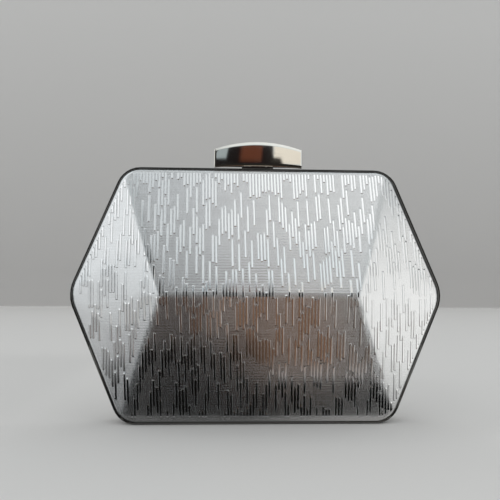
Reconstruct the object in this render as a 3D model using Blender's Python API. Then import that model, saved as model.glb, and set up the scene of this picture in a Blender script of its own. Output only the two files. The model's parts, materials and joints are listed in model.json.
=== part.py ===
"""A hard-case evening clutch: two faceted shells in hinged metal frames, closed by an arched spring clasp.

Metres, +Z up. X runs along the width, the front faces -Y, and the seam between the halves is the XZ plane.
The clutch stands upright on the bottom walls of its frames, at Z = 0.
"""
import math

import bmesh
import bpy
from mathutils import Vector

# The frames' outline, seen from the front, with its corners still sharp
side_reach = 0.0970
edge_reach = 0.0693
half_height = 0.0656
side_radius = 0.0180
edge_radius = 0.0128

# Fits
clearance = 0.0003
pin_clearance = 0.00015
rivet_clearance = 0.00015
seam_gap = 0.0004
overrun = 0.0010
weld_distance = 0.000001
flat_angle = math.radians(0.05)
sharp_angle = math.radians(35)

# The frames: an outer wall with a flange turned in at the seam
frame_depth = 0.0065
frame_wall = 0.0011
frame_edge = 0.0003
flange_thickness = 0.0010
flange_lip = 0.0004

# The layers of a half, from the outside in
cover_thickness = 0.0008
shell_wall = 0.0015
lining_thickness = 0.0006
cover_tuck = 0.0032

# The faceted form that the layers share
crown_reach = 0.0240
ridge_reach = 0.0482
seat_drop = 0.0003
roll_rise = 0.0020
roll_width = 0.0022
crease_softness = 0.0008
flank_softness_share = 1.6

# The hinges, near both lower corners
hinge_corner_gap = 0.0183
knuckle_radius = 0.0014
knuckle_length = 0.0038
knuckle_recess = 0.0001
hinge_pin_radius = 0.0006
leaf_thickness = 0.0006
leaf_reach = 0.0060
leaf_rivet_reach = 0.0042
leaf_rivet_spread = 0.0036
opening_angle = math.radians(75)
stop_angle = math.radians(2)

# The rivets, flush outside and headed inside
rivet_radius = 0.0006
rivet_head_radius = 0.0011
rivet_head_depth = 0.0004
rivet_recess = 0.0001
rivet_tail_radius = 0.0010
rivet_tail_depth = 0.0005

# The clasp's arched bar, a hollow casting
bar_half_length = 0.0231
bar_front_reach = 0.0056
bar_back_reach = 0.0050
bar_foot = 0.0006
bar_foot_rise = 0.0009
bar_end_height = 0.0104
bar_top_height = 0.0144
bar_back_foot = 0.0030
bar_wall = 0.0009
bar_bevel = 0.0006
bar_foot_bevel = 0.0003

# The clasp's bracket, pin and spring, on the back frame
plate_thickness = 0.0008
bracket_half_width = 0.0068
bracket_near_reach = 0.0007
bracket_far_reach = 0.0061
ear_thickness = 0.0010
ear_radius = 0.0015
cheek_thickness = 0.0014
cheek_gap = 0.0005
clasp_pin_radius = 0.0008
clasp_pin_reach = 0.0022
clasp_pin_height = 0.0030
bracket_rivet_reach = 0.0048
bracket_rivet_spread = 0.0032
spring_radius = 0.0013
spring_wire_radius = 0.00017
spring_half_length = 0.0045
spring_leg_length = 0.0012
spring_seat_depth = 0.0010
spring_seat_width = 0.0011

# The catch, on the front frame, and the bar's hook that stands before it
catch_half_width = 0.0075
catch_near_reach = 0.0008
catch_far_reach = 0.0060
post_half_width = 0.0040
post_near_reach = 0.0016
post_far_reach = 0.0030
post_height = 0.0042
post_chamfer = 0.0006
catch_rivet_reach = 0.0026
catch_rivet_spread = 0.0058
hook_half_width = 0.0045
hook_foot = 0.0016
hook_height = 0.0050
hook_chamfer = 0.0005

# Counts
corner_steps = 6
edge_steps = 6
side_steps = 2
roll_steps = 3
inner_roll_steps = 1
round_sides = 20
rivet_sides = 10
bar_steps = 16
spring_turns = 5
spring_points = 9
facet_shares = (0.45, 0.93, 1.0)

# Sizes that follow from the ones above
frame_front = seam_gap / 2 + frame_depth
flange_face = seam_gap / 2 + flange_thickness
cover_inset = frame_wall + clearance
shell_inset = cover_inset + cover_thickness + clearance
lining_inset = shell_inset + shell_wall + clearance
flange_inset = lining_inset + lining_thickness + flange_lip
layer_foot = flange_face + clearance
frame_top = 2 * half_height
hinge_reach = edge_reach - hinge_corner_gap
hinge_height = knuckle_radius + knuckle_recess
hinge_width = 3 * knuckle_length + 2 * clearance
clasp_pin_z = frame_top + clasp_pin_height
plate_foot = frame_top + clearance
plate_top = plate_foot + plate_thickness
lean = math.atan2(half_height, side_reach - edge_reach)
side_normal = Vector((math.sin(lean), math.cos(lean)))


def make_material(name, colour, roughness, metallic):
    """A plain surface for one kind of piece."""
    material = bpy.data.materials.new(name)
    material.use_nodes = True
    shader = material.node_tree.nodes["Principled BSDF"]
    shader.inputs["Base Color"].default_value = (*colour, 1)
    shader.inputs["Roughness"].default_value = roughness
    shader.inputs["Metallic"].default_value = metallic
    return material


def add_empty(name, place):
    """The origin of one moving assembly."""
    empty = bpy.data.objects.new(name, None)
    empty.location = place
    bpy.context.collection.objects.link(empty)
    return empty


def add_piece(name, mesh_builder, origin, material, parent):
    """One named object from a mesh drawn in world places, with its own origin under its assembly."""
    origin = Vector(origin)
    bmesh.ops.recalc_face_normals(mesh_builder, faces=mesh_builder.faces)
    bmesh.ops.connect_verts_nonplanar(mesh_builder, angle_limit=flat_angle, faces=mesh_builder.faces)
    bmesh.ops.translate(mesh_builder, verts=mesh_builder.verts, vec=-origin)
    mesh = bpy.data.meshes.new(name)
    mesh_builder.to_mesh(mesh)
    mesh_builder.free()
    mesh.shade_smooth()
    mesh.set_sharp_from_angle(angle=sharp_angle)
    mesh.materials.append(material)
    piece = bpy.data.objects.new(name, mesh)
    piece.parent = parent
    piece.location = origin - parent.location
    bpy.context.collection.objects.link(piece)
    return piece


def add_tool(name, mesh_builder, parent):
    """A cutter or a lobe for a Boolean, which isn't a piece of the clutch."""
    tool = add_piece(name, mesh_builder, parent.location, materials["tool"], parent)
    tool.hide_render = True
    tool.display_type = "WIRE"
    return tool


def combine(piece, tool, operation):
    """A Boolean that stays on the piece."""
    modifier = piece.modifiers.new(operation.lower(), "BOOLEAN")
    modifier.operation = operation
    modifier.object = tool


def cut(piece, *tools):
    """Takes each tool's space away from the piece."""
    for tool in tools:
        combine(piece, tool, "DIFFERENCE")


def fuse(piece, *tools):
    """Joins each tool's solid to the piece."""
    for tool in tools:
        combine(piece, tool, "UNION")


def box_mesh(low, high, builder=None):
    """A box between two corners, in a new mesh or added to one."""
    builder = builder or bmesh.new()
    low, high = Vector(low), Vector(high)
    made = bmesh.ops.create_cube(builder, size=1)["verts"]
    bmesh.ops.scale(builder, verts=made, vec=high - low)
    bmesh.ops.translate(builder, verts=made, vec=(low + high) / 2)
    return builder


def ring_mesh(rings, closed_ends, builder=None):
    """Skins a row of closed rings that have as many points each, in a new mesh or added to one."""
    builder = builder or bmesh.new()
    rows = [[builder.verts.new(point) for point in ring] for ring in rings]
    for row, next_row in zip(rows, rows[1:]):
        for index, vertex in enumerate(row):
            after = (index + 1) % len(row)
            builder.faces.new((vertex, row[after], next_row[after], next_row[index]))
    if closed_ends:
        builder.faces.new(rows[0])
        builder.faces.new(rows[-1])
    return builder


def turned_mesh(profile, centre, axis, sides, builder=None):
    """Turns (radius, place along the axis) points round an axis that is "x" or "z"."""
    rings = []
    for radius, along in profile:
        ring = []
        for step in range(sides):
            angle = 2 * math.pi * (step + 1 / 2) / sides
            across, up = radius * math.cos(angle), radius * math.sin(angle)
            offset = (along, across, up) if axis == "x" else (across, up, along)
            ring.append(Vector(centre) + Vector(offset))
        rings.append(ring)
    return ring_mesh(rings, True, builder)


def prism_mesh(section, low_x, high_x, builder=None):
    """Extrudes a section of (y, z) points along X."""
    return ring_mesh([[(x, y, z) for y, z in section] for x in (low_x, high_x)], True, builder)


def outline(inset, edge_parts, side_parts):
    """The frame's outline drawn in by an inset, each point with the end of the ridge that it runs to."""
    corners = [
        (edge_reach, half_height, edge_radius, side_parts, edge_parts),
        (-edge_reach, half_height, edge_radius, edge_parts, side_parts),
        (-side_reach, 0, side_radius, side_parts, side_parts),
        (-edge_reach, -half_height, edge_radius, side_parts, edge_parts),
        (edge_reach, -half_height, edge_radius, edge_parts, side_parts),
        (side_reach, 0, side_radius, side_parts, side_parts),
    ]
    arcs = []
    for index, (x, height, radius, _, _) in enumerate(corners):
        here = Vector((x, height))
        before = (here - Vector(corners[index - 1][:2])).normalized()
        after = (Vector(corners[(index + 1) % len(corners)][:2]) - here).normalized()
        half_turn = before.angle(after) / 2
        centre = here + (after - before).normalized() * radius / math.cos(half_turn)
        middle = math.atan2(*reversed(here - centre))
        end = Vector((math.copysign(ridge_reach, x), 0))
        arc = []
        for step in range(corner_steps + 1):
            angle = middle + half_turn * (2 * step / corner_steps - 1)
            ray = Vector((math.cos(angle), math.sin(angle)))
            arc.append((centre + ray * (radius - inset), end))
        arcs.append(arc)
    points = []
    for index, arc in enumerate(arcs):
        points += arc
        parts = corners[index][4]
        start, start_ridge = arc[-1]
        finish, finish_ridge = arcs[(index + 1) % len(arcs)][0]
        for step in range(1, parts):
            share = step / parts
            points.append((start.lerp(finish, share), start_ridge.lerp(finish_ridge, share)))
    return points


def smooth_lower(first, second, softness):
    """The lower of two heights, rounded off where they meet."""
    if softness <= 0:
        return min(first, second)
    blend = max(softness - abs(first - second), 0) / softness
    return min(first, second) - blend * blend * softness / 4


def roof(point):
    """How far the facets stand out over the rolled edge, at a point measured from the middle."""
    rise = crown_reach - frame_front + seat_drop - roll_rise + crease_softness / 4
    side = Vector((abs(point.x), abs(point.y)))
    corner = Vector((side_reach, 0))
    ridge_depth = (corner - Vector((ridge_reach, 0))).dot(side_normal) - cover_inset
    end_slope = rise / (half_height - cover_inset)
    upper = end_slope * (half_height - cover_inset - point.y)
    lower = end_slope * (half_height - cover_inset + point.y)
    folds = []
    for height in (point.y, -point.y):
        depth = (corner - Vector((side.x, height))).dot(side_normal) - cover_inset
        folds.append(rise * depth / ridge_depth)
    share_up = max(0, min(1, min(folds) / rise))
    flank = smooth_lower(*folds, flank_softness_share * rise * share_up * (1 - share_up))
    return smooth_lower(smooth_lower(upper, lower, crease_softness), flank, crease_softness)


def dome_rings(inset, foot, roll_parts, side):
    """The rings of one layer's surface, from its foot in the frame to the ridge."""
    drop = inset - cover_inset
    seat = frame_front - seat_drop - drop

    def place(flat, out):
        return Vector((flat.x, side * out, half_height + flat.y))

    rims = outline(inset, edge_steps, side_steps)
    rings = [[place(rim, foot) for rim, _ in rims]]
    for part in range(roll_parts + 1):
        angle = math.pi / 2 * part / roll_parts
        drawn_in = outline(inset + roll_width * (1 - math.cos(angle)), edge_steps, side_steps)
        rise = roll_rise * math.sin(angle)
        rings.append([place(flat, seat + rise) for flat, _ in drawn_in])
    start = [flat for flat, _ in drawn_in]
    base = [roof(flat) for flat in start]
    for share in facet_shares:
        ring = []
        for flat, (_, ridge), at_rim in zip(start, rims, base):
            here = flat.lerp(ridge, share)
            out = seat + roll_rise + roof(here) - at_rim * (1 - share)
            ring.append(place(here, out))
        rings.append(ring)
    return rings


def split_outward(builder, side):
    """Splits each four-sided face along the diagonal that stands further out, so that layers nest."""
    for face in [face for face in builder.faces if len(face.verts) == 4]:
        first, second, third, fourth = face.verts
        if side * (first.co.y + third.co.y) > side * (second.co.y + fourth.co.y):
            bmesh.utils.face_split(face, first, third)
        else:
            bmesh.utils.face_split(face, second, fourth)


def layer_mesh(inset, thickness, foot, outer_roll_parts, side):
    """One thin layer of a half, closed round its foot."""
    outer = dome_rings(inset, foot, outer_roll_parts, side)
    inner = dome_rings(inset + thickness, foot, inner_roll_steps, side)
    builder = ring_mesh(list(reversed(inner)) + outer, False)
    bmesh.ops.remove_doubles(builder, verts=builder.verts, dist=weld_distance)
    split_outward(builder, side)
    return builder


def frame_mesh(side):
    """The frame's section carried round the outline."""
    inner_wall = frame_front - frame_edge
    section = [
        (0, seam_gap / 2 + frame_edge),
        (frame_edge, seam_gap / 2),
        (flange_inset - frame_edge, seam_gap / 2),
        (flange_inset, seam_gap / 2 + frame_edge),
        (flange_inset, flange_face),
        (frame_wall, flange_face),
        (frame_wall, inner_wall),
        (frame_wall - frame_edge, frame_front),
        (frame_edge, frame_front),
        (0, inner_wall),
    ]
    rings = []
    for inset, out in section + section[:1]:
        ring = [Vector((flat.x, side * out, half_height + flat.y)) for flat, _ in outline(inset, 1, 1)]
        rings.append(ring)
    builder = ring_mesh(rings, False)
    bmesh.ops.remove_doubles(builder, verts=builder.verts, dist=weld_distance)
    return builder


def rivet_profile(stack, growth, end):
    """A rivet's (radius, depth) points, from its flush head through the stack to its inner head."""
    neck = rivet_recess + rivet_head_depth
    if growth:
        return [
            (rivet_head_radius + growth, -overrun),
            (rivet_head_radius + growth, rivet_recess),
            (rivet_radius + growth, neck + growth),
            (rivet_radius + growth, stack + end),
        ]
    tail = stack + rivet_clearance
    return [
        (rivet_head_radius, rivet_recess),
        (rivet_radius, neck),
        (rivet_radius, tail),
        (rivet_tail_radius, tail),
        (rivet_tail_radius, tail + rivet_tail_depth / 2),
        (rivet_tail_radius / 2, tail + rivet_tail_depth),
    ]


def add_rivet(name, place, inward, stack, parent, hole_tool):
    """One rivet, and the space that it needs added to the half's hole cutter."""
    for growth, end in ((0, 0), (rivet_clearance, overrun)):
        profile = [(radius, inward * depth) for radius, depth in rivet_profile(stack, growth, end)]
        if growth:
            turned_mesh(profile, place, "z", rivet_sides, hole_tool)
        else:
            rivet = turned_mesh(profile, place, "z", rivet_sides)
            add_piece(name, rivet, place, materials["rivet"], parent)


def add_hinge_leaf(name, centre_x, side, knuckles, parent, holes, bore):
    """A plate inside the frame's bottom wall with its knuckles round the hinge axis."""
    low_x = centre_x - hinge_width / 2
    high_x = centre_x + hinge_width / 2
    foot = frame_wall + clearance
    top = foot + leaf_thickness
    near = side * (knuckle_radius + clearance)
    far = side * leaf_reach
    plate = box_mesh((low_x, min(near, far), foot), (high_x, max(near, far), top))
    leaf = add_piece(name, plate, (centre_x, 0, hinge_height), materials["steel"], parent)
    for knuckle in knuckles:
        start = low_x + knuckle * (knuckle_length + clearance)
        end = start + knuckle_length
        reach = side * (knuckle_radius + 2 * clearance)
        neck = box_mesh((start, min(0, reach), foot), (end, max(0, reach), top))
        barrel = turned_mesh([(knuckle_radius, start), (knuckle_radius, end)],
                             (0, 0, hinge_height), "x", round_sides)
        fuse(leaf, add_tool(f"{name}_neck_{knuckle}", neck, parent))
        fuse(leaf, add_tool(f"{name}_barrel_{knuckle}", barrel, parent))
    cut(leaf, bore, holes)
    return leaf


def bar_section(share, inset, foot_drop, end_inset):
    """The bar's (y, z) section at a share of its half length, drawn in by an inset."""
    arch = 1 - share * share
    drawn_in = inset + end_inset
    front, back = -bar_front_reach + drawn_in, bar_back_reach - drawn_in
    top = frame_top + bar_end_height + (bar_top_height - bar_end_height) * arch - drawn_in
    foot = frame_top + bar_foot + bar_foot_rise * arch - foot_drop
    back_foot = frame_top + bar_back_foot - foot_drop
    return [
        (front + bar_foot_bevel, foot),
        (front, foot + bar_foot_bevel),
        (front, top - bar_bevel),
        (front + bar_bevel / 2, top - bar_bevel / 5),
        (front + bar_bevel, top),
        (back - bar_bevel, top),
        (back, top - bar_bevel),
        (back, back_foot),
    ]


def bar_mesh(inset, foot_drop):
    """The arched block of the bar's outside, or the pocket inside it."""
    half = bar_half_length - inset
    shares = [2 * step / bar_steps - 1 for step in range(bar_steps + 1)]
    edge = bar_foot_bevel
    rings = []
    for share in shares:
        end_inset = edge if abs(share) == 1 else 0
        x = share * half
        rings.append([(x, y, z) for y, z in bar_section(share, inset, foot_drop, end_inset)])
        if abs(share) == 1:
            x -= math.copysign(edge, share)
            shoulder = [(x, y, z) for y, z in bar_section(share, inset, foot_drop, 0)]
            rings.insert(len(rings) - (share == 1), shoulder)
    return ring_mesh(rings, True)


def cheek_section(radius, top):
    """A (y, z) plate section that is round below the clasp's pin and reaches up to its root."""
    points = []
    for step in range(round_sides // 2 + 1):
        angle = math.pi + math.pi * step / (round_sides // 2)
        points.append((clasp_pin_reach + radius * math.cos(angle), clasp_pin_z + radius * math.sin(angle)))
    return points + [(clasp_pin_reach + radius, top), (clasp_pin_reach - radius, top)]


def ear_section():
    """A (y, z) plate section that rises from the bracket's plate and is round above the pin."""
    points = [(clasp_pin_reach - ear_radius, plate_top - plate_thickness / 2)]
    for step in range(round_sides // 2 + 1):
        angle = math.pi - math.pi * step / (round_sides // 2)
        y = clasp_pin_reach + ear_radius * math.cos(angle)
        points.append((y, clasp_pin_z + ear_radius * math.sin(angle)))
    return points + [(clasp_pin_reach + ear_radius, plate_top - plate_thickness / 2)]


def spring_route():
    """The torsion spring's path: a leg on the bracket, the coil round the pin, a leg under the bar's seat."""
    points = [Vector((-spring_half_length, clasp_pin_reach + spring_leg_length,
                      plate_top + clearance + spring_wire_radius))]
    steps = spring_turns * spring_points + spring_points // 2
    for step in range(steps + 1):
        angle = math.pi * (2 * spring_turns + 1) * step / steps
        points.append(Vector((
            spring_half_length * (2 * step / steps - 1),
            clasp_pin_reach - spring_radius * math.sin(angle),
            clasp_pin_z - spring_radius * math.cos(angle),
        )))
    end = points[-1]
    points.append(Vector((end.x, end.y + spring_leg_length, end.z)))
    return points


def least_gap(points, wire_radius, apart):
    """The least free space between stretches of a wire that aren't neighbours."""
    gaps = []
    for index, point in enumerate(points):
        for other in points[index + apart:]:
            gaps.append((point - other).length - 2 * wire_radius)
    return min(gaps)


def build_half(name, side, parent):
    """The frame, shell, cover and lining of one half, with the cuts for its hinges and rivets."""
    holes = bmesh.new()
    hinges = []
    for hand, sign in (("left", -1), ("right", 1)):
        centre_x = sign * hinge_reach
        for number, spread in enumerate((-1, 1), 1):
            place = (centre_x + spread * leaf_rivet_spread, side * leaf_rivet_reach, 0)
            stack = frame_wall + clearance + leaf_thickness
            add_rivet(f"{hand}_{name}_hinge_rivet_{number}", place, 1, stack, parent, holes)
        hinges.append((hand, centre_x))
    clasp = "catch" if side < 0 else "bracket"
    reach = catch_rivet_reach if side < 0 else bracket_rivet_reach
    spread = catch_rivet_spread if side < 0 else bracket_rivet_spread
    for hand, sign in (("left", -1), ("right", 1)):
        place = (sign * spread, side * reach, plate_top)
        stack = plate_thickness + clearance + frame_wall
        add_rivet(f"{clasp}_rivet_{hand}", place, -1, stack, parent, holes)
    hole_tool = add_tool(f"{name}_rivet_holes", holes, parent)

    knuckle_room = bmesh.new()
    rim_room = bmesh.new()
    bores = bmesh.new()
    near, far = sorted((side * (layer_foot - overrun), side * (leaf_reach + clearance)))
    room_depth = lining_inset - clearance / 2
    for hand, centre_x in hinges:
        room = hinge_width / 2 + clearance
        turned_mesh([(knuckle_radius + clearance, centre_x - room), (knuckle_radius + clearance, centre_x + room)],
                    (0, 0, hinge_height), "x", round_sides, knuckle_room)
        box_mesh((centre_x - room, near, -overrun), (centre_x + room, far, room_depth), rim_room)
        bore = hinge_width / 2 + overrun
        turned_mesh([(hinge_pin_radius + pin_clearance, centre_x - bore),
                     (hinge_pin_radius + pin_clearance, centre_x + bore)],
                    (0, 0, hinge_height), "x", round_sides, bores)
    rivet_room = spread + rivet_tail_radius + clearance
    box_mesh((-rivet_room, near, frame_top - room_depth), (rivet_room, far, frame_top + overrun), rim_room)
    knuckle_tool = add_tool(f"{name}_knuckle_room", knuckle_room, parent)
    rim_tool = add_tool(f"{name}_rim_room", rim_room, parent)
    bore_tool = add_tool(f"{name}_hinge_bores", bores, parent)

    half_relief = (opening_angle + stop_angle) / 2
    drop = hinge_height + overrun
    flare = drop * math.tan(half_relief)
    relief = prism_mesh([(0, hinge_height), (-flare, -overrun), (flare, -overrun)], -side_reach, side_reach)
    relief_tool = add_tool(f"{name}_hinge_relief", relief, parent)

    origin = (0, 0, half_height)
    frame = add_piece(f"{name}_frame", frame_mesh(side), origin, materials["frame"], parent)
    cut(frame, relief_tool, knuckle_tool, hole_tool)
    shell = layer_mesh(shell_inset, shell_wall, layer_foot, inner_roll_steps, side)
    cut(add_piece(f"{name}_shell", shell, origin, materials["shell"], parent), rim_tool)
    cover = layer_mesh(cover_inset, cover_thickness, cover_tuck, roll_steps, side)
    cut(add_piece(f"{name}_cover", cover, origin, materials["cover"], parent), rim_tool)
    lining = layer_mesh(lining_inset, lining_thickness, layer_foot, inner_roll_steps, side)
    add_piece(f"{name}_lining", lining, origin, materials["lining"], parent)

    knuckles = (0, 2) if side < 0 else (1,)
    for hand, centre_x in hinges:
        add_hinge_leaf(f"{hand}_hinge_{name}_leaf", centre_x, side, knuckles, parent, hole_tool, bore_tool)
    return hole_tool


def build_hinge_pins(parent):
    """The two pins, held in the back leaves."""
    for hand, sign in (("left", -1), ("right", 1)):
        half = hinge_width / 2
        tip = hinge_pin_radius / 3
        profile = [(hinge_pin_radius - tip, -half), (hinge_pin_radius, tip - half),
                   (hinge_pin_radius, half - tip), (hinge_pin_radius - tip, half)]
        place = (sign * hinge_reach, 0, hinge_height)
        add_piece(f"{hand}_hinge_pin", turned_mesh(profile, place, "x", round_sides), place,
                  materials["steel"], parent)


def build_catch(parent, hole_tool):
    """The plate on the front frame's top wall, with the post that the hook holds."""
    plate = box_mesh((-catch_half_width, -catch_far_reach, plate_foot),
                     (catch_half_width, -catch_near_reach, plate_top))
    post_top = frame_top + post_height
    post = prism_mesh([
        (-post_far_reach, plate_top - plate_thickness / 2),
        (-post_near_reach, plate_top - plate_thickness / 2),
        (-post_near_reach, post_top - post_chamfer),
        (-post_near_reach - post_chamfer, post_top),
        (-post_far_reach, post_top),
    ], -post_half_width, post_half_width)
    origin = (0, -post_far_reach, plate_foot)
    catch = add_piece("catch_plate", plate, origin, materials["nickel"], parent)
    fuse(catch, add_tool("catch_post", post, parent))
    cut(catch, hole_tool)


def build_bracket(parent, hole_tool, pin_bore):
    """The plate on the back frame's top wall, with an ear at each end for the clasp's pin."""
    plate = box_mesh((-bracket_half_width, bracket_near_reach, plate_foot),
                     (bracket_half_width, bracket_far_reach, plate_top))
    bracket = add_piece("clasp_bracket", plate, (0, clasp_pin_reach, clasp_pin_z), materials["nickel"], parent)
    outer = bracket_half_width - clearance
    for hand, sign in (("left", -1), ("right", 1)):
        low_x, high_x = sorted((sign * outer, sign * (outer - ear_thickness)))
        ear = prism_mesh(ear_section(), low_x, high_x)
        fuse(bracket, add_tool(f"bracket_ear_{hand}", ear, parent))
    cut(bracket, pin_bore, hole_tool)


def build_bar(parent, pin_bore):
    """The hollow arched bar, with the cheeks that turn on the pin, the hook and the spring's seat."""
    origin = (0, clasp_pin_reach, clasp_pin_z)
    bar = add_piece("clasp_bar", bar_mesh(0, 0), origin, materials["nickel"], parent)
    cut(bar, add_tool("bar_pocket", bar_mesh(bar_wall, overrun + bar_foot_bevel), parent))
    inner = bracket_half_width - clearance + cheek_gap
    outer = inner + cheek_thickness
    arch = 1 - (outer / bar_half_length) ** 2
    roof_height = bar_end_height + (bar_top_height - bar_end_height) * arch - bar_wall / 2
    for hand, sign in (("left", -1), ("right", 1)):
        low_x, high_x = sorted((sign * inner, sign * outer))
        cheek = prism_mesh(cheek_section(ear_radius, frame_top + roof_height), low_x, high_x)
        fuse(bar, add_tool(f"bar_cheek_{hand}", cheek, parent))
    hook_back = -post_far_reach - clearance
    hook_front = -bar_front_reach + bar_wall / 2
    hook_top = frame_top + hook_foot + hook_height
    foot = frame_top + hook_foot
    hook = prism_mesh([
        (hook_front, foot),
        (hook_back - hook_chamfer, foot),
        (hook_back, foot + hook_chamfer),
        (hook_back, hook_top - bar_wall),
        (hook_front, hook_top),
    ], -hook_half_width, hook_half_width)
    fuse(bar, add_tool("bar_hook", hook, parent))
    seat_foot = clasp_pin_z + spring_radius + spring_wire_radius + clearance
    seat_back = bar_back_reach - bar_wall / 2
    seat = box_mesh((-spring_half_length - clearance, seat_back - bar_wall / 2 - spring_seat_width, seat_foot),
                    (spring_half_length + clearance, seat_back, seat_foot + spring_seat_depth))
    fuse(bar, add_tool("bar_spring_seat", seat, parent))
    cut(bar, pin_bore)
    return outer


def build_clasp_pin(half_length, parent):
    """The pin through the bracket's ears and the bar's cheeks."""
    tip = clasp_pin_radius / 4
    profile = [(clasp_pin_radius - tip, -half_length), (clasp_pin_radius, tip - half_length),
               (clasp_pin_radius, half_length - tip), (clasp_pin_radius - tip, half_length)]
    place = (0, clasp_pin_reach, clasp_pin_z)
    add_piece("clasp_pin", turned_mesh(profile, place, "x", round_sides), place, materials["steel"], parent)


def build_spring(parent):
    """The torsion spring that turns the bar down over the catch."""
    points = spring_route()
    print("least gap of the spring to itself, m:", round(least_gap(points, spring_wire_radius, spring_points - 2), 6))
    curve = bpy.data.curves.new("clasp_spring", "CURVE")
    curve.dimensions = "3D"
    curve.bevel_depth = spring_wire_radius
    curve.bevel_resolution = 1
    curve.use_fill_caps = True
    origin = Vector((0, clasp_pin_reach, clasp_pin_z))
    spline = curve.splines.new("POLY")
    spline.points.add(len(points) - 1)
    for target, point in zip(spline.points, points):
        target.co = (*(point - origin), 1)
    curve.materials.append(materials["steel"])
    spring = bpy.data.objects.new("clasp_spring", curve)
    spring.parent = parent
    spring.location = origin - parent.location
    bpy.context.collection.objects.link(spring)


for leftover in list(bpy.data.objects):
    bpy.data.objects.remove(leftover)

materials = {
    "frame": make_material("frame_nickel", (0.62, 0.61, 0.59), 0.12, 1.0),
    "nickel": make_material("clasp_nickel", (0.78, 0.75, 0.70), 0.08, 1.0),
    "steel": make_material("hinge_steel", (0.56, 0.56, 0.57), 0.30, 1.0),
    "rivet": make_material("rivet_nickel", (0.60, 0.59, 0.58), 0.25, 1.0),
    "shell": make_material("shell_plastic", (0.60, 0.60, 0.58), 0.55, 0.0),
    "cover": make_material("silver_cover", (0.70, 0.71, 0.73), 0.32, 0.85),
    "lining": make_material("satin_lining", (0.42, 0.42, 0.44), 0.60, 0.0),
    "tool": make_material("tool_shape", (1.0, 0.4, 0.1), 0.9, 0.0),
}

back_half = add_empty("back_half_origin", (0, 0, 0))
front_half = add_empty("front_half_origin", (0, 0, hinge_height))
front_half.parent = back_half
clasp = add_empty("clasp_origin", (0, clasp_pin_reach, clasp_pin_z))
clasp.parent = back_half

front_holes = build_half("front", -1, front_half)
back_holes = build_half("back", 1, back_half)
build_hinge_pins(back_half)
build_catch(front_half, front_holes)
bore_reach = bar_half_length / 2
clasp_bore = add_tool("clasp_pin_bore", turned_mesh(
    [(clasp_pin_radius + pin_clearance, -bore_reach), (clasp_pin_radius + pin_clearance, bore_reach)],
    (0, clasp_pin_reach, clasp_pin_z), "x", round_sides), back_half)
build_bracket(back_half, back_holes, clasp_bore)
pin_half_length = build_bar(clasp, clasp_bore)
build_clasp_pin(pin_half_length, back_half)
build_spring(back_half)
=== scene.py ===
"""The looks of the faceted evening clutch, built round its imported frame. Metres, +Z up, front at -Y."""
import json
import math
import random

import bmesh
import bpy
from mathutils import Matrix, Vector, noise


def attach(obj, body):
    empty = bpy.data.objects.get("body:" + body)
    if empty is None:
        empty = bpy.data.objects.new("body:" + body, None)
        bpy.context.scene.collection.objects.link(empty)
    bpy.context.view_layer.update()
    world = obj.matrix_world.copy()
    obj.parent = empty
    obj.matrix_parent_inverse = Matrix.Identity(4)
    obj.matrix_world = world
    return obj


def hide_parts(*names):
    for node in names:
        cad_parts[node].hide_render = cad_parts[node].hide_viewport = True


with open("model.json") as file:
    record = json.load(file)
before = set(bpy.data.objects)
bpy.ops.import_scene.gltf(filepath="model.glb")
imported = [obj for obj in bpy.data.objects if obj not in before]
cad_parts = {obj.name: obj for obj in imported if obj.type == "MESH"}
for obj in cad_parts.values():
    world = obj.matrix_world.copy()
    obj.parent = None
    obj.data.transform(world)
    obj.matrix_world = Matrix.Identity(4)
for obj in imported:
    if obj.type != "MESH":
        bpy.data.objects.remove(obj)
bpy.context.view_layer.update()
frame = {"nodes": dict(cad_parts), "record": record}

# The form that the halves share, as in the part's source
side_reach = 0.0970
edge_reach = 0.0693
half_height = 0.0656
side_radius = 0.0180
edge_radius = 0.0128
frame_front = 0.0067
seat_drop = 0.0003
roll_rise = 0.0020
roll_width = 0.0022
crown_reach = 0.0240
ridge_reach = 0.0482
crease_softness = 0.0008
flank_softness_share = 1.6
cover_inset = 0.0014
cover_thickness = 0.0008
cover_tuck = 0.0032
frame_top = 2 * half_height
lean = math.atan2(half_height, side_reach - edge_reach)
side_normal = Vector((math.sin(lean), math.cos(lean)))

# How finely the meshes are measured and made
rim_searches = 30
slope_step = 0.00025
weld_distance = 0.0000001
sharp_angle = math.radians(35)
cover_roll_parts = 5
cover_back_shares = (0.5, 0.93, 1)

# The linings, as in the part's source
lining_inset = 0.0043
lining_thickness = 0.0006
layer_foot = 0.0015
lining_roll_parts = 6
lining_dome_parts = 18
lining_middle_parts = 36
lining_fan_parts = 40
hem_shares = (0, 0.15, 0.35, 0.6, 0.85)
hem_swell = 0.00030
wrinkle_depth = 0.00035
wrinkle_spans = (0.011, 0.034)
wrinkle_shares = (0.6, 0.4)
wrinkle_gain = 1.6
crossed_seed = 7
dome_growth = 4
lining_weld = 0.000001

# The clasp bar, as in the part's source but for a wall 0.1 mm thinner, and its roundings
bar_half_length = 0.0231
bar_front_reach = 0.0056
bar_back_reach = 0.0050
bar_foot = 0.0006
bar_foot_rise = 0.0009
bar_end_height = 0.0104
bar_top_height = 0.0144
bar_back_foot = 0.0030
bar_wall = 0.0008
bar_sweep = 0.0005
bar_bulge = 0.00001
bar_foot_round = 0.00045
bar_front_round = 0.0004
bar_back_round = 0.0006
bar_end_round = 0.0004
bar_back_chamfer = 0.0002
pocket_drop = 0.0020
pin_clearance = 0.00015
clasp_pin_reach = 0.0022
clasp_pin_z = frame_top + 0.0030
clasp_pin_radius = 0.0008
cheek_inner = 0.0070
cheek_thickness = 0.0014
cheek_radius = 0.0015
bore_reach = 0.0095
hook_half_width = 0.0045
hook_foot = 0.0016
hook_height = 0.0050
hook_chamfer = 0.0005
hook_back = -0.0033
seat_half_length = 0.0048
seat_width = 0.0011
seat_depth = 0.0010
seat_foot = clasp_pin_z + 0.00177
bar_stations = 60
pocket_stations = 24
pocket_rounding = 0.1
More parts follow.
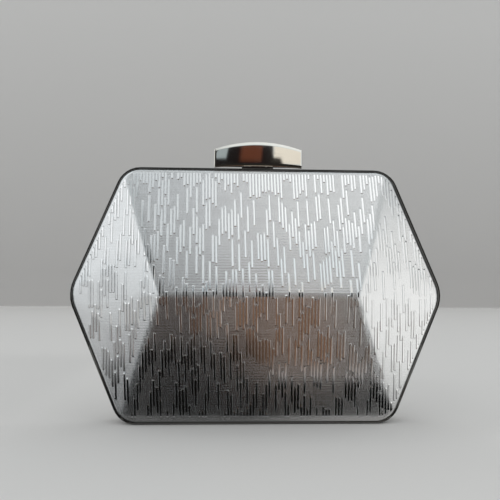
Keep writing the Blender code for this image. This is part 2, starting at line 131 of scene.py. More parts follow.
bar_foot_parts = 5
bar_front_parts = 8
bar_top_parts = 7
bar_back_parts = 6
bar_end_parts = 4
cheek_parts = 16
round_sides = 32

# The embossing
dash_pitch = 0.0016
dash_half_width = 0.00060
dash_height = 0.00027
dash_length = 0.0142
dash_foot_end = 0.00040
dash_top_end = 0.0007
dash_flat = 0.62
dash_lines = (0.57, 0.67, 0.96, 1)
dash_offsets = (-dash_pitch / 2 / dash_half_width, *[-at for at in reversed(dash_lines)], *dash_lines)
dash_end_steps = (0, 0.1, 0.85, 1)
dash_tilt = math.radians(1.2)
dash_least = 0.0022
short_gap = (0.0008, 0.0018)
long_gap = (0.0070, 0.0260)
short_gap_share = 0.30
row_step = 0.0040
fine_row_step = 0.0010
fine_band = 0.0030

# The ribs between the dashes
rib_scale = 640.0
rib_lean = 0.72
line_scale = 235.0
line_lean = 0.035

# The looks
silver_colour = (0.80, 0.805, 0.81, 1)
silver_roughness = (0.15, 0.21)
plastic_colours = ((0.50, 0.50, 0.48, 1), (0.66, 0.66, 0.63, 1))
satin_colours = ((0.30, 0.30, 0.32, 1), (0.50, 0.50, 0.53, 1))
metal_tints = (0.90, 1.05)
metal_polish = (0.7, 1.5)

# The stage
floor_near_reach = 1.5
floor_half_width = 1.8
wall_reach = 1.15
wall_height = 1.8
floor_tone = (0.70, 0.67, 0.65, 1)
# The wall is painted darker near its foot and lighter up to its top tone: painted shade standing in for
# light falling from above.
wall_top_tone = (0.578, 0.552, 0.536, 1)
wall_shade_tones = ((0.004, 0.475), (0.12, 0.455))
wall_warmth = (1.05, 0.97)
wall_shade_height = 0.8
studio_colour = (0.89, 0.945, 0.965, 1)

# The camera
camera_turn = [math.radians(angle) for angle in (-3.21, 2.42, -0.48)]
camera_shift = Vector((0.00372, -0.02341, -0.2824))
camera_lens = 38.59
camera_sensor = 36
camera_clip = 0.01


def smooth_lower(first, second, softness):
    """The lower of two heights, rounded off where they meet."""
    if softness <= 0:
        return min(first, second)
    blend = max(softness - abs(first - second), 0) / softness
    return min(first, second) - blend * blend * softness / 4


def roof(x, height):
    """How far the facets stand out over the rolled edge, at a point measured from the middle."""
    rise = crown_reach - frame_front + seat_drop - roll_rise + crease_softness / 4
    ridge_depth = (side_reach - ridge_reach) * side_normal.x - cover_inset
    end_slope = rise / (half_height - cover_inset)
    upper = end_slope * (half_height - cover_inset - height)
    lower = end_slope * (half_height - cover_inset + height)
    across = (side_reach - abs(x)) * side_normal.x - cover_inset
    folds = [rise * (across - up * side_normal.y) / ridge_depth for up in (height, -height)]
    share_up = max(0, min(1, min(folds) / rise))
    flank = smooth_lower(*folds, flank_softness_share * rise * share_up * (1 - share_up))
    return smooth_lower(smooth_lower(upper, lower, crease_softness), flank, crease_softness)


def corner_centre(corner, radius, half_turn, inward):
    """The middle of a rounded corner's arc."""
    return Vector(corner) + Vector(inward) * radius / math.cos(half_turn)


edge_centre = corner_centre((edge_reach, half_height), edge_radius, lean / 2,
                            (-math.sin(lean / 2), -math.cos(lean / 2)))
side_centre = corner_centre((side_reach, 0), side_radius, math.pi / 2 - lean, (-1, 0))


def rim_depth(x, height):
    """How far inside the frame's outline a point lies, and the way out from there."""
    across, up = abs(x), abs(height)
    offset = Vector((across, up)) - edge_centre
    turn = math.atan2(offset.x, offset.y)
    if across < edge_centre.x:
        slant = (Vector((side_reach, 0)) - Vector((across, up))).dot(side_normal)
        level = half_height - up
        depth, way = (level, Vector((0, 1))) if level < slant else (slant, side_normal)
    elif 0 < turn < lean and offset.length > 0:
        depth, way = edge_radius - offset.length, offset.normalized()
    else:
        depth, way = (Vector((side_reach, 0)) - Vector((across, up))).dot(side_normal), side_normal
    to_side = Vector((across, up)) - side_centre
    if to_side.x > 0 and math.atan2(to_side.y, to_side.x) < math.pi / 2 - lean:
        depth, way = side_radius - to_side.length, to_side.normalized()
    return depth, Vector((math.copysign(way.x, x), math.copysign(way.y, height)))


def find_rim(origin, direction, inset):
    """The share of a direction at which a ray from inside meets the outline drawn in by an inset."""
    low, high = 0, 1
    for _ in range(rim_searches):
        middle = (low + high) / 2
        point = origin + direction * middle
        if rim_depth(point.x, point.y)[0] > inset:
            low = middle
        else:
            high = middle
    return (low + high) / 2


fold_inset = cover_inset + roll_width
fold_level = half_height - fold_inset


def leave_circle(start, way, centre, radius):
    """How far along a way from a start a circle is left."""
    offset = start - centre
    along = offset.dot(way)
    return -along + math.sqrt(max(along * along - offset.length_squared + radius * radius, 0))


def rim_reach(across, up):
    """How far the rolled edge lies from the ridge's end, in a direction of the first quarter."""
    start, way = Vector((ridge_reach, 0)), Vector((across, up))
    reaches = []
    if up > 0:
        reaches.append(fold_level / up)
    if way.dot(side_normal) > 0:
        depth = (side_reach - ridge_reach) * side_normal.x - fold_inset
        reaches.append(depth / way.dot(side_normal))
    reach = min(reaches)
    to_edge = start + way * reach - edge_centre
    to_side = start + way * reach - side_centre
    if to_edge.x > 0 and 0 < math.atan2(to_edge.x, to_edge.y) < lean:
        return leave_circle(start, way, edge_centre, edge_radius - fold_inset)
    if to_side.x > 0 and math.atan2(to_side.y, to_side.x) < math.pi / 2 - lean:
        return leave_circle(start, way, side_centre, side_radius - fold_inset)
    return reach


def rim_lift(x, height):
    """What the facets are lowered by, so that they start level along the rolled edge."""
    share_left = abs(height) / fold_level
    middle_half = ridge_reach + (edge_centre.x - ridge_reach) * share_left
    if abs(x) <= middle_half:
        return roof(0, fold_level) * share_left
    offset = Vector((abs(x) - ridge_reach, abs(height)))
    if offset.length < weld_distance:
        return 0
    way = offset.normalized()
    reach = rim_reach(way.x, way.y)
    start = Vector((ridge_reach, 0)) + way * reach
    return roof(start.x, start.y) * offset.length / reach


def crown(x, height):
    """How far a cover's facets stand out from the seam plane."""
    return frame_front - seat_drop + roll_rise + roof(x, height) - rim_lift(x, height)


def crown_slope(x, height):
    """The facets' slopes along X and along Z."""
    across = (crown(x + slope_step, height) - crown(x - slope_step, height)) / (2 * slope_step)
    up = (crown(x, height + slope_step) - crown(x, height - slope_step)) / (2 * slope_step)
    return across, up


def place(x, height, out, side):
    """A point of a half in the row frame."""
    return Vector((x, side * out, half_height + height))


def outward(slope_x, slope_z, side):
    """The normal of a surface that stands out from the seam plane with these slopes."""
    return Vector((-slope_x, side, -slope_z)).normalized()


def dash_rows(low, high, draw):
    """Upright dashes from the top of a column to its foot, each as its (foot, top)."""
    dashes = []
    top = high + draw.uniform(0, dash_length)
    while top > low:
        dashes.append((top - dash_length, top))
        gap = short_gap if draw.random() < short_gap_share else long_gap
        top -= dash_length + draw.uniform(*gap)
    return [(foot, top) for foot, top in dashes if min(top, high) - max(foot, low) > dash_least]


def fixed_rows(low, high):
    """Heights that a line of the mesh passes through, closer where it crosses a crease."""
    rows = [low]
    while rows[-1] < high:
        near = abs(rows[-1]) < fine_band + row_step
        rows.append(rows[-1] + (fine_row_step if near else row_step))
    rows[-1] = high
    if len(rows) > 2 and rows[-1] - rows[-2] < fine_row_step / 2:
        rows.pop(-2)
    return rows


def line_span(at):
    """The lowest and highest point of a leaning line across the cover."""
    slant = math.tan(dash_tilt)
    ends = []
    for way in (-1, 1):
        origin = Vector((at, 0))
        direction = Vector((-slant * way, way)) * half_height
        ends.append(way * half_height * find_rim(origin, direction, fold_inset))
    return ends


def bead(share):
    """A dash's height at a share of its half width from its middle, and that height's slope."""
    if abs(share) >= 1:
        return 0, 0
    if abs(share) <= dash_flat:
        return 1, 0
    return (1 - abs(share)) / (1 - dash_flat), -math.copysign(1 / (1 - dash_flat), share)


def dash_state(dashes, height):
    """The share of its full height that a dash has at a height, and that share's slope."""
    for foot, top in dashes:
        if not foot < height < top:
            continue
        if height < foot + dash_foot_end:
            return (height - foot) / dash_foot_end, 1 / dash_foot_end
        if height > top - dash_top_end:
            return (top - height) / dash_top_end, -1 / dash_top_end
        return 1, 0
    return 0, 0


def zip_lines(builder, first, second):
    """Triangles between two neighbouring lines of vertices, each as (height, vertex)."""
    left, right = 0, 0
    while left + 1 < len(first) or right + 1 < len(second):
        step_left = right + 1 >= len(second)
        if not step_left and left + 1 < len(first):
            step_left = first[left + 1][0] <= second[right + 1][0]
        corners = [first[left][1], second[right][1]]
        if step_left:
            left += 1
            corners.append(first[left][1])
        else:
            right += 1
            corners.append(second[right][1])
        if len(set(corners)) == 3:
            builder.faces.new(corners)


def cover_lines(draw):
    """The lines of vertices up a cover, each vertex as (x, height, out, slope X, slope Z, dash share)."""
    extreme = side_centre.x + side_radius - fold_inset
    count = int(extreme / dash_pitch) + 1
    slant = math.tan(dash_tilt)
    lines = []
    for column in range(-count, count + 1):
        middle = column * dash_pitch
        dashes = []
        if abs(middle) < extreme - dash_pitch:
            dashes = dash_rows(*line_span(middle), draw)
        for offset in dash_offsets:
            share, steep = bead(offset)
            at = middle + offset * dash_half_width
            if abs(at) > extreme - dash_half_width / 2:
                continue
            low, high = line_span(at)
            heights = set(fixed_rows(low, high))
            if abs(offset) < 1:
                for foot, top in dashes:
                    heights |= {foot + step * dash_foot_end for step in dash_end_steps}
                    heights |= {top - step * dash_top_end for step in dash_end_steps}
            heights = sorted(height for height in heights if low <= height <= high)
            line = []
            for height in heights:
                x = at - slant * height
                slope_x, slope_z = crown_slope(x, height)
                grown, change = dash_state(dashes, height)
                out = crown(x, height) + dash_height * share * grown
                slope_x += dash_height / dash_half_width * steep * grown
                slope_z += dash_height * share * change
                line.append((x, height, out, slope_x, slope_z, share * grown))
            lines.append(line)
    return lines


def build_cover(name, side, seed):
    """A half's embossed cover: facets with raised dashes, the rolled edge and the side to the shell."""
    lines = cover_lines(random.Random(seed))
    builder = bmesh.new()
    normals, raised = [], []

    def add(point, normal, share=0):
        normals.append(normal)
        raised.append(share)
        return builder.verts.new(point)

    rows = []
    for line in lines:
        row = []
        for x, height, out, slope_x, slope_z, share in line:
            row.append((height, add(place(x, height, out, side), outward(slope_x, slope_z, side), share)))
        rows.append(row)
    tips = []
    for sign in (-1, 1):
        x = sign * (side_centre.x + side_radius - fold_inset)
        tips.append((0, add(place(x, 0, crown(x, 0), side), outward(*crown_slope(x, 0), side))))
    for first, second in zip([[tips[0]]] + rows, rows + [[tips[1]]]):
        zip_lines(builder, first, second)

    loop = [tips[0]] + [row[-1] for row in rows] + [tips[1]] + [row[0] for row in reversed(rows)]
    rim = [vertex for _, vertex in loop]
    flats = [(vertex.co.x, vertex.co.z - half_height) for vertex in rim]
    ways = [rim_depth(*flat)[1] for flat in flats]
    seat = frame_front - seat_drop
    profile = []
    for part in range(1, cover_roll_parts + 1):
        angle = math.pi / 2 * (1 - part / cover_roll_parts)
        profile.append((roll_width * math.cos(angle), seat + roll_rise * math.sin(angle), angle))
    profile.append((roll_width, cover_tuck, 0))
    previous = rim
    for reach, out, angle in profile:
        ring = []
        for (x, height), way in zip(flats, ways):
            normal = Vector((way.x * math.cos(angle), side * math.sin(angle), way.y * math.cos(angle)))
            ring.append(add(place(x + way.x * reach, height + way.y * reach, out, side), normal))
        for index, vertex in enumerate(ring):
            after = (index + 1) % len(ring)
            builder.faces.new((previous[index], previous[after], ring[after], vertex))
        previous = ring
    inner = roll_width - cover_thickness
    shell_side = [(inner, None, 0), (inner, 0, 0), (0, 0, 0)]
    shell_side += [(0, 0, share) for share in cover_back_shares]
    for reach, drop, share in shell_side:
        ring = []
        for (x, height), way in zip(flats, ways):
            here = Vector((x + way.x * reach, height + way.y * reach))
            if share:
                here = here.lerp(Vector((max(-ridge_reach, min(ridge_reach, x)), 0)), share)
            out = cover_tuck if drop is None else seat - cover_thickness
            if drop is not None and reach == 0:
                out = crown(here.x, here.y) - cover_thickness
            ring.append(add(place(here.x, here.y, out, side), Vector((0, -side, 0))))
        for index, vertex in enumerate(ring):
            after = (index + 1) % len(ring)
            builder.faces.new((previous[index], previous[after], ring[after], vertex))
        previous = ring
    mesh = bpy.data.meshes.new(name)
    builder.to_mesh(mesh)
    builder.free()
    piece = bpy.data.objects.new(name, mesh)
    bpy.context.collection.objects.link(piece)
    if mesh.polygons[0].normal.y * side < 0:
        mesh.flip_normals()
    mesh.shade_smooth()
    mesh.normals_split_custom_set_from_vertices(normals)
    mesh.attributes.new("raised", "FLOAT", "POINT").data.foreach_set("value", raised)
    return piece


def skin(rings, closed_ends):
    """A mesh under construction with faces between closed rings that have as many points each."""
    builder = bmesh.new()
    rows = [[builder.verts.new(point) for point in ring] for ring in rings]
    for row, next_row in zip(rows, rows[1:]):
        for index, vertex in enumerate(row):
            after = (index + 1) % len(row)
            builder.faces.new((vertex, row[after], next_row[after], next_row[index]))
    if closed_ends:
        builder.faces.new(rows[0])
        builder.faces.new(rows[-1])
    return builder


def prism(section, low_x, high_x):
    """A section of (y, z) points carried along X."""
    return skin([[(x, y, z) for y, z in section] for x in (low_x, high_x)], True)


def arc(centre, radius, start, finish, parts):
    """Points of an arc in the (y, z) plane, with its angles in quarter turns."""
    points = []
    for part in range(parts + 1):
        angle = math.pi / 2 * (start + (finish - start) * part / parts)
        points.append((centre[0] + radius * math.cos(angle), centre[1] + radius * math.sin(angle)))
    return points


def add_mesh_object(name, builder):
    """An object in the row frame from a mesh under construction."""
    bmesh.ops.recalc_face_normals(builder, faces=builder.faces)
    mesh = bpy.data.meshes.new(name)
    builder.to_mesh(mesh)
    builder.free()
    piece = bpy.data.objects.new(name, mesh)
    bpy.context.collection.objects.link(piece)
    return piece


def combine(piece, *steps):
    """Joins solids to a piece or cuts them from it, one after another."""
    tools = []
    for operation, builder in steps:
        tool = add_mesh_object("tool", builder)
        modifier = piece.modifiers.new(operation.lower(), "BOOLEAN")
        modifier.operation = operation
        modifier.solver = "EXACT"
        modifier.object = tool
        tools.append(tool)
    bpy.context.view_layer.update()
    depsgraph = bpy.context.evaluated_depsgraph_get()
    made = bpy.data.meshes.new_from_object(piece.evaluated_get(depsgraph))
    piece.modifiers.clear()
    piece.data = made
    for tool in tools:
        bpy.data.objects.remove(tool)


def smooth_shade(piece):
    """Smooth shading with the real edges kept sharp."""
    piece.data.shade_smooth()
    piece.data.set_sharp_from_angle(angle=sharp_angle)


def rim_ring(inset):
    """A ring drawn in from the frame's outline, each point with the place on the ridge that it runs to."""
    level = half_height - inset
    quarter = []
    for part in range(lining_middle_parts):
        share = part / lining_middle_parts
        quarter.append((Vector((edge_centre.x * share, level)), Vector((ridge_reach * share, 0))))
    end = Vector((ridge_reach, 0))
    first = math.atan2(level, edge_centre.x - ridge_reach)
    for part in range(lining_fan_parts + 1):
        angle = first * (1 - part / lining_fan_parts)
        way = Vector((math.cos(angle), math.sin(angle))) * side_reach
        quarter.append((end + way * find_rim(end, way, inset), end))
    ring = []
    for index, signs in enumerate(((1, 1), (1, -1), (-1, -1), (-1, 1))):
        part = quarter[:-1] if index % 2 == 0 else quarter[:0:-1]
        for flat, ridge in part:
            ring.append((Vector((flat.x * signs[0], flat.y * signs[1])),
                         Vector((ridge.x * signs[0], ridge.y * signs[1]))))
    return ring


def wrinkle(x, height, seed):
    """How far the lining's cloth stands off its card."""
    short, long = wrinkle_spans
    wide = noise.noise(Vector((x / short, height / long, seed)))
    crossed = noise.noise(Vector(((x + height) / long, (x - height) / short, seed + crossed_seed)))
    wide_share, crossed_share = wrinkle_shares
    return wrinkle_depth * (abs(wide) * wide_share + abs(crossed) * crossed_share) * wrinkle_gain


def lining_rings(inset, hem, seed, side):
    """The rings of one side of a lining, from its foot in the frame to the ridge."""
    seat = frame_front - seat_drop - (inset - cover_inset)
    rings = []
    for share in hem_shares:
        swell = hem * math.sin(math.pi * share)
        out = layer_foot + (seat - layer_foot) * share
        rings.append([place(flat.x, flat.y, out, side) for flat, _ in rim_ring(inset + swell)])
    for part in range(lining_roll_parts + 1):
        angle = math.pi / 2 * part / lining_roll_parts
        drawn_in = rim_ring(inset + roll_width * (1 - math.cos(angle)))
        out = seat + roll_rise * math.sin(angle)
        rings.append([place(flat.x, flat.y, out, side) for flat, _ in drawn_in])
    base = [roof(flat.x, flat.y) for flat, _ in drawn_in]
    for part in range(1, lining_dome_parts + 1):
        share = part / lining_dome_parts
        grown = min(1, dome_growth * share)
        ring = []
        for (flat, ridge), at_rim in zip(drawn_in, base):
            here = flat.lerp(ridge, share)
            out = seat + roll_rise + roof(here.x, here.y) - at_rim * (1 - share)
            ring.append(place(here.x, here.y, out - grown * wrinkle(here.x, here.y, seed), side))
        rings.append(ring)
    return rings


def build_lining(name, side, seed):
    """A half's satin lining over its card, with a turned hem at the foot and soft wrinkles."""
    outer = lining_rings(lining_inset, 0, seed, side)
    inner = lining_rings(lining_inset + lining_thickness, hem_swell, seed, side)
    builder = skin(list(reversed(inner)) + outer, False)
    bmesh.ops.remove_doubles(builder, verts=builder.verts, dist=lining_weld)
    piece = add_mesh_object(name, builder)
    smooth_shade(piece)
    return piece


def bar_section(share, drawn, foot_drop, rounding):
    """The bar's (y, z) section at a share of its half length, drawn in all round."""
    arch = 1 - share * share
    front = -bar_front_reach + bar_sweep * share * share + bar_bulge + drawn
    back = bar_back_reach - drawn
    top = frame_top + bar_end_height + (bar_top_height - bar_end_height) * arch - drawn
    lift = drawn - foot_drop
    foot = frame_top + bar_foot + bar_foot_rise * arch + lift
    back_foot = frame_top + bar_back_foot + lift
    foot_round, front_round, back_round = [
        radius * rounding for radius in (bar_foot_round, bar_front_round, bar_back_round)]
    points = arc((front - bar_bulge + foot_round, foot + foot_round), foot_round, 3, 2, bar_foot_parts)
    low, high = foot + foot_round, top - front_round
    for part in range(1, bar_front_parts):
        up = part / bar_front_parts
        points.append((front - bar_bulge * (1 - max(0, 2 * up - 1) ** 2), low + (high - low) * up))
    points += arc((front + front_round, top - front_round), front_round, 2, 1, bar_top_parts)
    points += arc((back - back_round, top - back_round), back_round, 1, 0, bar_back_parts)
    return points + [(back, back_foot + bar_back_chamfer), (back - bar_back_chamfer, back_foot)]


def bar_solid(stations, drawn, foot_drop, rounding):
    """The arched block of the bar's outside with rounded ends, or the pocket inside it."""
    half = bar_half_length - drawn
    end = bar_end_round * rounding
    spots = []
    for part in range(bar_end_parts + 1):
        angle = math.pi / 2 * part / bar_end_parts
        spots.append((half - end + end * math.sin(angle), end * (1 - math.cos(angle))))
    spots.reverse()
    inner = half - end
    row = [(-x, more) for x, more in spots]
    row += [(inner * (2 * part / stations - 1), 0) for part in range(1, stations)]
    row += list(reversed(spots))
    rings = []
    for x, more in row:
        section = bar_section(x / bar_half_length, drawn + more, foot_drop, rounding)
        rings.append([(x, y, z) for y, z in section])
    return skin(rings, True)


def build_bar():
    """The hollow arched bar with its cheeks, hook and spring seat."""
    piece = add_mesh_object("clasp_bar_polished", bar_solid(bar_stations, 0, 0, 1))
    steps = [("DIFFERENCE", bar_solid(pocket_stations, bar_wall, pocket_drop, pocket_rounding))]
    cheek_outer = cheek_inner + cheek_thickness
    arch = 1 - (cheek_outer / bar_half_length) ** 2
    roof_z = frame_top + bar_end_height + (bar_top_height - bar_end_height) * arch - bar_wall / 2
    cheek = arc((clasp_pin_reach, clasp_pin_z), cheek_radius, 2, 4, cheek_parts)
    cheek += [(clasp_pin_reach + cheek_radius, roof_z), (clasp_pin_reach - cheek_radius, roof_z)]
    for sign in (-1, 1):
        steps.append(("UNION", prism(cheek, *sorted((sign * cheek_inner, sign * cheek_outer)))))
    hook_front = -bar_front_reach + bar_sweep + bar_bulge + bar_wall / 3
    foot = frame_top + hook_foot
    steps.append(("UNION", prism([
        (hook_front, foot),
        (hook_back - hook_chamfer, foot),
        (hook_back, foot + hook_chamfer),
        (hook_back, foot + hook_height - bar_wall),
        (hook_front, foot + hook_height),
    ], -hook_half_width, hook_half_width)))
    seat_back = bar_back_reach - bar_wall / 2
    seat_front = seat_back - bar_wall / 2 - seat_width
    steps.append(("UNION", prism([
        (seat_front, seat_foot), (seat_back, seat_foot),
        (seat_back, seat_foot + seat_depth), (seat_front, seat_foot + seat_depth),
    ], -seat_half_length, seat_half_length)))
    bore = arc((clasp_pin_reach, clasp_pin_z), clasp_pin_radius + pin_clearance, 0, 4, round_sides)[:-1]
    steps.append(("DIFFERENCE", prism(bore, -bore_reach, bore_reach)))
    combine(piece, *steps)
    smooth_shade(piece)
    return piece


def add_node(tree, kind, inputs=None, **settings):
    """A shader node with its sockets filled from values or from other nodes' sockets."""
    node = tree.nodes.new(kind)
    for key, value in settings.items():
        setattr(node, key, value)
    for key, value in (inputs or {}).items():
        if isinstance(value, bpy.types.NodeSocket):
            tree.links.new(value, node.inputs[key])
        else:
            node.inputs[key].default_value = value
    return node


def add_material(name):
    """A material with its Principled shader and its object coordinates."""
    material = bpy.data.materials.new(name)
    material.use_nodes = True
    tree = material.node_tree
    shader = tree.nodes["Principled BSDF"]
    place_node = add_node(tree, "ShaderNodeTexCoord")
    return material, tree, shader, place_node.outputs["Object"]


def cover_material():
    """Silver coated leatherette with fine level ribs, pressed smooth on the raised dashes."""
    material, tree, shader, where = add_material("silver_leatherette")
    shader.inputs["Metallic"].default_value = 1.0
    shader.inputs["Base Color"].default_value = silver_colour
    raised = add_node(tree, "ShaderNodeAttribute", attribute_name="raised").outputs["Fac"]
    ribbed = add_node(tree, "ShaderNodeMapRange", {"Value": raised, "From Min": 0.05, "From Max": 0.4,
                                                   "To Min": 1.0, "To Max": 0.0}).outputs["Result"]
    ribs = add_node(tree, "ShaderNodeTexWave", {"Vector": where, "Scale": rib_scale, "Distortion": 0.4,
                                                "Detail": 1.0, "Detail Scale": 2.0},
                    wave_type="BANDS", bands_direction="Z", wave_profile="SAW")
    across = add_node(tree, "ShaderNodeMapRange", {"Value": ribs.outputs["Fac"], "To Min": -1.0,
                                                   "To Max": 1.0}).outputs["Result"]
    bold = add_node(tree, "ShaderNodeMath", {0: across}, operation="ABSOLUTE").outputs["Value"]
    lines = add_node(tree, "ShaderNodeTexWave", {"Vector": where, "Scale": line_scale, "Distortion": 0.6,
                                                 "Detail": 1.0},
                     wave_type="BANDS", bands_direction="Z", wave_profile="SIN")
    line = add_node(tree, "ShaderNodeMapRange", {"Value": lines.outputs["Fac"], "To Min": -line_lean,
                                                 "To Max": line_lean}).outputs["Result"]
    lean_share = across
    for factor in (bold, rib_lean):
        lean_share = add_node(tree, "ShaderNodeMath", {0: lean_share, 1: factor},
                              operation="MULTIPLY").outputs["Value"]
    lean_share = add_node(tree, "ShaderNodeMath", {0: lean_share, 1: line},
                          operation="ADD").outputs["Value"]
    lean_share = add_node(tree, "ShaderNodeMath", {0: lean_share, 1: ribbed},
                          operation="MULTIPLY").outputs["Value"]
    tilt = add_node(tree, "ShaderNodeCombineXYZ", {"Z": lean_share})
    turned = add_node(tree, "ShaderNodeVectorTransform", {"Vector": tilt.outputs["Vector"]},
                      vector_type="VECTOR", convert_from="OBJECT", convert_to="WORLD")
    grain = add_node(tree, "ShaderNodeTexNoise", {"Vector": where, "Scale": 260.0, "Detail": 4.0})
    swell = add_node(tree, "ShaderNodeTexNoise", {"Vector": where, "Scale": 22.0, "Detail": 1.0})
    rough = add_node(tree, "ShaderNodeMapRange", {"Value": grain.outputs["Fac"], "From Min": 0.3,
                                                  "From Max": 0.7, "To Min": silver_roughness[0],
                                                  "To Max": silver_roughness[1]})
    sheer = add_node(tree, "ShaderNodeMapRange", {"Value": ribbed, "To Min": 0.5, "To Max": 1.0})
    rough = add_node(tree, "ShaderNodeMath", {0: rough.outputs["Result"], 1: sheer.outputs["Result"]},
                     operation="MULTIPLY")
    tree.links.new(rough.outputs["Value"], shader.inputs["Roughness"])
    slow = add_node(tree, "ShaderNodeBump", {"Height": swell.outputs["Fac"], "Distance": 0.0003,
                                             "Strength": 0.04})
    leaned = add_node(tree, "ShaderNodeVectorMath",
                      {0: slow.outputs["Normal"], 1: turned.outputs["Vector"]}, operation="ADD")
    normal = add_node(tree, "ShaderNodeVectorMath", {0: leaned.outputs["Vector"]}, operation="NORMALIZE")
    tree.links.new(normal.outputs["Vector"], shader.inputs["Normal"])
    return material


def metal_material(name, colour, roughness, marks_scale, stretch, depth):
    """Plated metal with fine marks along one way, soft wear spots and a slight cloudiness."""
    material, tree, shader, where = add_material(name)
    shader.inputs["Metallic"].default_value = 1.0
    drawn = add_node(tree, "ShaderNodeMapping", {"Vector": where, "Scale": stretch})
    marks = add_node(tree, "ShaderNodeTexNoise", {"Vector": drawn.outputs["Vector"], "Scale": marks_scale,
                                                  "Detail": 5.0, "Roughness": 0.65})
    cloud = add_node(tree, "ShaderNodeTexNoise", {"Vector": where, "Scale": 90.0, "Detail": 3.0})
    tint = add_node(tree, "ShaderNodeMix", {"Factor": cloud.outputs["Fac"]}, data_type="RGBA")
    for socket, share in zip("AB", metal_tints):
        tint.inputs[socket].default_value = (*[min(1, part * share) for part in colour], 1)
    tree.links.new(tint.outputs["Result"], shader.inputs["Base Color"])
    worn = add_node(tree, "ShaderNodeMath", {0: marks.outputs["Fac"], 1: cloud.outputs["Fac"]},
                    operation="MULTIPLY")
    rough = add_node(tree, "ShaderNodeMapRange", {"Value": worn.outputs["Value"], "From Min": 0.15,
                                                  "From Max": 0.40,
                                                  "To Min": roughness * metal_polish[0],
                                                  "To Max": roughness * metal_polish[1]})
    tree.links.new(rough.outputs["Result"], shader.inputs["Roughness"])
    relief = add_node(tree, "ShaderNodeBump", {"Height": marks.outputs["Fac"], "Distance": depth,
                                               "Strength": 1.0})
    tree.links.new(relief.outputs["Normal"], shader.inputs["Normal"])
    return material


def plastic_material():
    """Moulded grey plastic with a fine spark-eroded grain."""
    material, tree, shader, where = add_material("moulded_plastic")
    cloud = add_node(tree, "ShaderNodeTexNoise", {"Vector": where, "Scale": 120.0, "Detail": 4.0})
    grain = add_node(tree, "ShaderNodeTexNoise", {"Vector": where, "Scale": 2200.0, "Detail": 2.0})
    tint = add_node(tree, "ShaderNodeMix", {"Factor": cloud.outputs["Fac"]}, data_type="RGBA")
    tint.inputs["A"].default_value, tint.inputs["B"].default_value = plastic_colours
    tree.links.new(tint.outputs["Result"], shader.inputs["Base Color"])
    rough = add_node(tree, "ShaderNodeMapRange", {"Value": grain.outputs["Fac"], "To Min": 0.42,
                                                  "To Max": 0.66})
    tree.links.new(rough.outputs["Result"], shader.inputs["Roughness"])
    relief = add_node(tree, "ShaderNodeBump", {"Height": grain.outputs["Fac"], "Distance": 0.00003,
                                               "Strength": 0.6})
    tree.links.new(relief.outputs["Normal"], shader.inputs["Normal"])
    return material


def satin_material():
    """Grey satin: close threads one way, floats across them, and slow changes of tone."""
    material, tree, shader, where = add_material("grey_satin")
    warp = add_node(tree, "ShaderNodeTexWave", {"Vector": where, "Scale": 1150.0, "Distortion": 0.8,
                                                "Detail": 2.0},
                    wave_type="BANDS", bands_direction="X", wave_profile="SIN")
    weft = add_node(tree, "ShaderNodeTexWave", {"Vector": where, "Scale": 820.0, "Distortion": 1.2,
                                                "Detail": 2.0},
                    wave_type="BANDS", bands_direction="Z", wave_profile="SIN")
    weave = add_node(tree, "ShaderNodeMath", {0: warp.outputs["Fac"], 1: weft.outputs["Fac"]},
                     operation="MULTIPLY")
    cloud = add_node(tree, "ShaderNodeTexNoise", {"Vector": where, "Scale": 38.0, "Detail": 4.0})
    slubs = add_node(tree, "ShaderNodeMapping", {"Vector": where, "Scale": (1.0, 1.0, 0.06)})
    slub = add_node(tree, "ShaderNodeTexNoise", {"Vector": slubs.outputs["Vector"], "Scale": 900.0,
                                                 "Detail": 2.0})
    threads = add_node(tree, "ShaderNodeMix", {"Factor": weave.outputs["Value"]}, data_type="RGBA")
    threads.inputs["A"].default_value, threads.inputs["B"].default_value = satin_colours
    tone = add_node(tree, "ShaderNodeMapRange", {"Value": cloud.outputs["Fac"], "From Min": 0.3,
                                                 "From Max": 0.7, "To Min": 0.86, "To Max": 1.08})
    streak = add_node(tree, "ShaderNodeMapRange", {"Value": slub.outputs["Fac"], "From Min": 0.3,
                                                   "From Max": 0.7, "To Min": 0.94, "To Max": 1.05})
    both = add_node(tree, "ShaderNodeMath", {0: tone.outputs["Result"], 1: streak.outputs["Result"]},
                    operation="MULTIPLY")
    toned = add_node(tree, "ShaderNodeVectorMath", {0: threads.outputs["Result"]}, operation="SCALE")
    tree.links.new(both.outputs["Value"], toned.inputs["Scale"])
    tree.links.new(toned.outputs["Vector"], shader.inputs["Base Color"])
    rough = add_node(tree, "ShaderNodeMapRange", {"Value": weave.outputs["Value"], "To Min": 0.50,
                                                  "To Max": 0.34})
    tree.links.new(rough.outputs["Result"], shader.inputs["Roughness"])
    relief = add_node(tree, "ShaderNodeBump", {"Height": weave.outputs["Value"], "Distance": 0.00004,
                                               "Strength": 0.8})
    tree.links.new(relief.outputs["Normal"], shader.inputs["Normal"])
    shader.inputs["Sheen Weight"].default_value = 0.35
    shader.inputs["Sheen Roughness"].default_value = 0.35
    return material


def place_camera():
    """The photograph's camera, fitted to the clutch's corners."""
    turn_x, turn_y, turn_z = camera_turn
    turned = (Matrix.Rotation(turn_z, 3, "Z") @ Matrix.Rotation(turn_y, 3, "Y") @
              Matrix.Rotation(turn_x, 3, "X"))
    upright = Matrix(((1, 0, 0), (0, 0, -1), (0, 1, 0)))
    camera = bpy.data.objects.new("camera", bpy.data.cameras.new("camera"))
    camera.data.lens = camera_lens
    camera.data.sensor_width = camera_sensor
    camera.data.clip_start = camera_clip
    spot = upright @ (turned.transposed() @ -camera_shift) + Vector((0, 0, half_height))
    camera.matrix_world = Matrix.Translation(spot) @ (upright @ turned.transposed()).to_4x4()
    bpy.context.collection.objects.link(camera)
    bpy.context.scene.camera = camera


